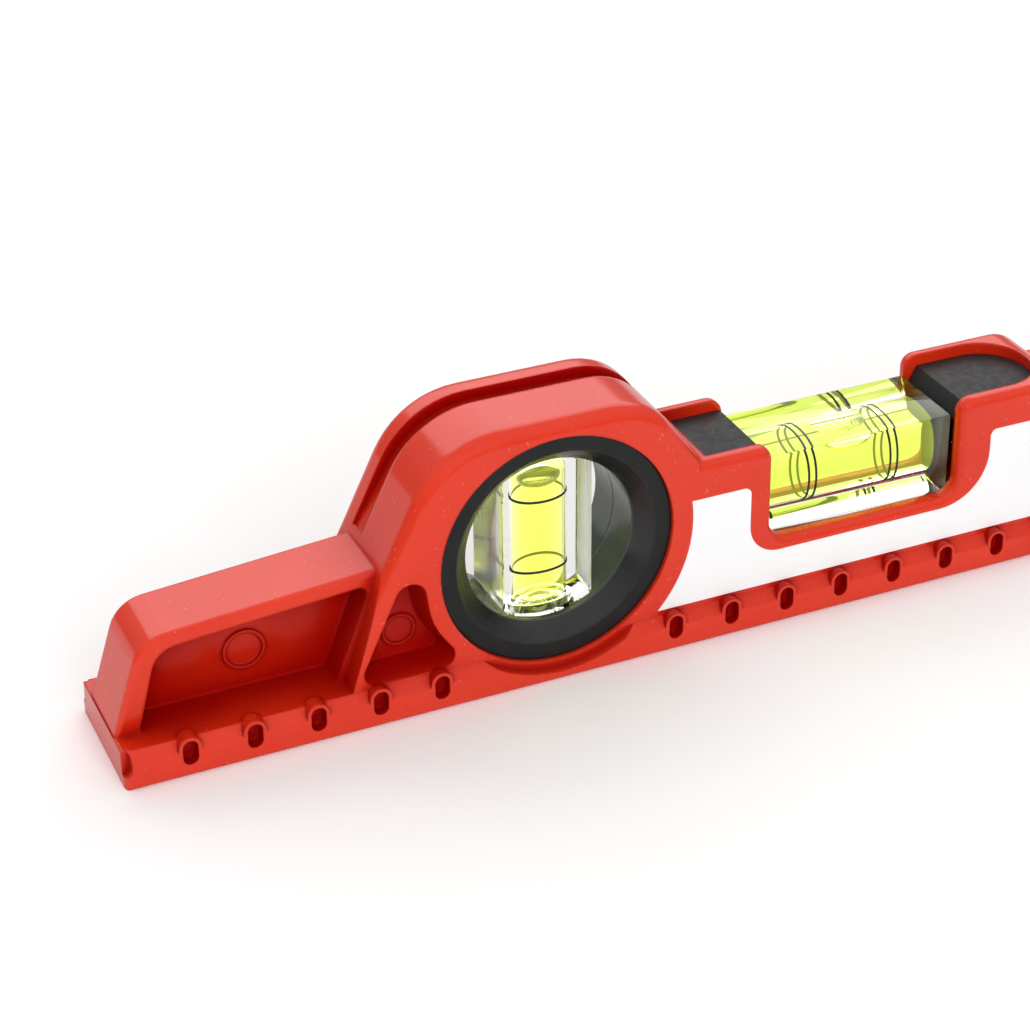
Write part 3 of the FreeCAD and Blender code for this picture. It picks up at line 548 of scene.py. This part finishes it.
plumb_liquid = shaped_rod("plumb_liquid", PLUMB_TUBE_RADIUS, PLUMB_TUBE_BOTTOM,
                          PLUMB_TUBE_TOP, "Z", WINDOW_MIDDLE)
apply_bevel(plumb_liquid, 0.0006, 3)
smooth(plumb_liquid)
plumb_liquid.data.materials.append(PLUMB_LIQUID)
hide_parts("plumb_fluid")
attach(plumb_liquid, "level")


# Plumb plug: a clear disc below the plumb tube, turned with two round steps that
# catch the light as bright rings.

PLUMB_PLUG_RADIUS = 0.0053
PLUMB_PLUG_BOTTOM = 0.00895
PLUMB_PLUG_TOP = 0.01035
PLUG_STEPS = ((0.0008, 0.0), (0.0003, -0.0006), (0.0010, 0.0), (0.0003, 0.0005),
              (0.0010, 0.0), (0.0003, -0.0005))


def turn_steps():
    for thickness, drop in PLUG_STEPS:
        bpy.ops.mesh.inset(thickness=thickness)
        if drop != 0.0:
            bpy.ops.transform.translate(value=(0.0, 0.0, drop))


plumb_plug = shaped_rod("plumb_plug", PLUMB_PLUG_RADIUS, PLUMB_PLUG_BOTTOM,
                        PLUMB_PLUG_TOP, "Z", WINDOW_MIDDLE, 96)
edit_faces(plumb_plug, lambda polygon: polygon.normal.z > 0.9, turn_steps)
smooth(plumb_plug, 20.0)
PLUG_STEP = clear_material("plug_step", 0.70, (0.93, 0.99, 0.88, 1.0), 0.0, 0.02)
plumb_plug.data.materials.append(PLUG_STEP)
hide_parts("plumb_end_plug")
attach(plumb_plug, "level")


# Caps: matte black plastic with a fine moulded grain.

def cap_plastic():
    material, tree, shader = new_material("cap_plastic")
    tone = object_noise(tree, 200.0, 3.0)
    colour = ramp(tree, tone.outputs["Fac"], [
        (0.30, (0.018, 0.018, 0.018, 1.0)),
        (0.70, (0.025, 0.025, 0.025, 1.0)),
    ])
    tree.links.new(colour.outputs["Color"], shader.inputs["Base Color"])
    rough = object_noise(tree, 900.0, 2.0)
    tree.links.new(value_range(tree, rough.outputs["Fac"], 0.3, 0.7, 0.42, 0.58),
                   shader.inputs["Roughness"])
    shader.inputs["Specular IOR Level"].default_value = 0.30
    edge = soft_edges(tree, 0.0003)
    grain = object_noise(tree, 2600.0, 2.0)
    add_bump(tree, shader, grain.outputs["Fac"], 0.00003, edge.outputs["Normal"], 0.5)
    return material


CAP = cap_plastic()
for cap_name in ("left_cap", "right_cap"):
    dress(cap_name, CAP)


# Labels: bare white stickers with a satin film.

def label_film():
    material, tree, shader = new_material("label_film")
    tone = object_noise(tree, 40.0, 2.0)
    colour = ramp(tree, tone.outputs["Fac"], [
        (0.30, (0.94, 0.94, 0.945, 1.0)),
        (0.70, (0.97, 0.97, 0.975, 1.0)),
    ])
    tree.links.new(colour.outputs["Color"], shader.inputs["Base Color"])
    rough = object_noise(tree, 600.0, 2.0)
    tree.links.new(value_range(tree, rough.outputs["Fac"], 0.3, 0.7, 0.34, 0.44),
                   shader.inputs["Roughness"])
    ripple = object_noise(tree, 90.0, 1.0)
    add_bump(tree, shader, ripple.outputs["Fac"], 0.00005, None, 0.25)
    return material


LABEL = label_film()
for label_name in ("front_label", "back_label"):
    dress(label_name, LABEL)


# Magnets: bare ground metal in the base.

def magnet_metal():
    material, tree, shader = new_material("magnet_metal")
    place = tree.nodes.new("ShaderNodeTexCoord")
    stretch = tree.nodes.new("ShaderNodeMapping")
    stretch.inputs["Scale"].default_value = (60.0, 2400.0, 60.0)
    brush = tree.nodes.new("ShaderNodeTexNoise")
    brush.inputs["Scale"].default_value = 1.0
    brush.inputs["Detail"].default_value = 3.0
    tree.links.new(place.outputs["Object"], stretch.inputs["Vector"])
    tree.links.new(stretch.outputs["Vector"], brush.inputs["Vector"])
    colour = ramp(tree, brush.outputs["Fac"], [
        (0.30, (0.42, 0.42, 0.43, 1.0)),
        (0.70, (0.60, 0.60, 0.61, 1.0)),
    ])
    tree.links.new(colour.outputs["Color"], shader.inputs["Base Color"])
    shader.inputs["Metallic"].default_value = 1.0
    tree.links.new(value_range(tree, brush.outputs["Fac"], 0.3, 0.7, 0.25, 0.40),
                   shader.inputs["Roughness"])
    add_bump(tree, shader, brush.outputs["Fac"], 0.00002, None, 0.4)
    return material


MAGNET = magnet_metal()
for magnet_name in ("magnet_left", "magnet_middle", "magnet_right"):
    dress(magnet_name, MAGNET)


# Floor, light and camera: a plain white sweep under soft studio light. The camera's
# numbers are a fit to the photograph's base line, notches and window.

FLOOR_GREY = (0.80, 0.80, 0.80, 1.0)
FLOOR_WHITE = (1.0, 0.992, 0.988, 1.0)
SKY_LOW, SKY_HIGH = 0.25, 0.75
SKY_THROUGH_GLASS = 0.95

bpy.ops.object.select_all(action="DESELECT")
bpy.ops.mesh.primitive_plane_add(size=6.0, location=(0.0, 0.0, 0.0))
floor = bpy.context.object
floor.name = "floor"
bpy.ops.object.transform_apply(location=True, rotation=True, scale=True)
floor_material, floor_tree, floor_shader = new_material("floor_white")
floor_shader.inputs["Roughness"].default_value = 0.9
floor_shader.inputs["Specular IOR Level"].default_value = 0.0
path = floor_tree.nodes.new("ShaderNodeLightPath")
seen = floor_tree.nodes.new("ShaderNodeMath")
seen.operation = "MAXIMUM"
floor_tree.links.new(path.outputs["Is Camera Ray"], seen.inputs[0])
floor_tree.links.new(path.outputs["Is Transmission Ray"], seen.inputs[1])
floor_tree.links.new(colour_mix(floor_tree, seen.outputs["Value"], FLOOR_GREY, FLOOR_WHITE),
                     floor_shader.inputs["Base Color"])
floor.data.materials.append(floor_material)

world = bpy.context.scene.world or bpy.data.worlds.new("studio")
bpy.context.scene.world = world
world.use_nodes = True
world_tree = world.node_tree
background = world_tree.nodes["Background"]
background.inputs["Color"].default_value = (1.0, 1.0, 1.0, 1.0)
toward = world_tree.nodes.new("ShaderNodeTexCoord")
split = world_tree.nodes.new("ShaderNodeSeparateXYZ")
world_tree.links.new(toward.outputs["Generated"], split.inputs[0])
sky = value_range(world_tree, split.outputs["Z"], 0.0, 0.70, SKY_LOW, SKY_HIGH)
world_path = world_tree.nodes.new("ShaderNodeLightPath")
sky_mix = world_tree.nodes.new("ShaderNodeMix")
sky_mix.data_type = "FLOAT"
sky_mix.inputs[3].default_value = SKY_THROUGH_GLASS
world_tree.links.new(world_path.outputs["Is Transmission Ray"], sky_mix.inputs[0])
world_tree.links.new(sky, sky_mix.inputs[2])
world_tree.links.new(sky_mix.outputs[0], background.inputs["Strength"])


def soft_box(name, size, energy, place, aim):
    light = bpy.data.lights.new(name, "AREA")
    light.shape = "RECTANGLE"
    light.size, light.size_y = size
    light.energy = energy
    lamp = bpy.data.objects.new(name, light)
    bpy.context.scene.collection.objects.link(lamp)
    lamp.location = place
    direction = Vector(aim) - Vector(place)
    lamp.rotation_euler = direction.to_track_quat("-Z", "Y").to_euler()
    return lamp


soft_box("back_light", (1.5, 0.8), 5.2, (0.20, 0.80, 0.75), (0.0, 0.0, 0.0))
front_fill = soft_box("front_fill", (1.0, 0.8), 6.4, (-0.25, -0.95, 0.50), (0.0, 0.0, 0.02))
front_fill.visible_glossy = False

FOCAL_PIXELS = 2651.33
FRAME_PIXELS = 1030.0
AXIS_U, AXIS_V = 565.16, 258.71
TURN_RIGHT = 0.4325
TIP_DOWN = 0.4394

camera_data = bpy.data.cameras.new("camera")
camera = bpy.data.objects.new("camera", camera_data)
bpy.context.scene.collection.objects.link(camera)
camera_data.sensor_width = 36.0
camera_data.lens = FOCAL_PIXELS / FRAME_PIXELS * camera_data.sensor_width
camera_data.shift_x = (FRAME_PIXELS / 2 - AXIS_U) / FRAME_PIXELS
camera_data.shift_y = (AXIS_V - FRAME_PIXELS / 2) / FRAME_PIXELS
camera_data.clip_start = 0.01
camera_data.clip_end = 20.0
camera.location = (-0.19998, -0.32732, 0.23576)
camera.rotation_euler = (math.pi / 2 - TIP_DOWN, 0.0, -TURN_RIGHT)
bpy.context.scene.camera = camera
bpy.context.scene.view_settings.view_transform = "Standard"
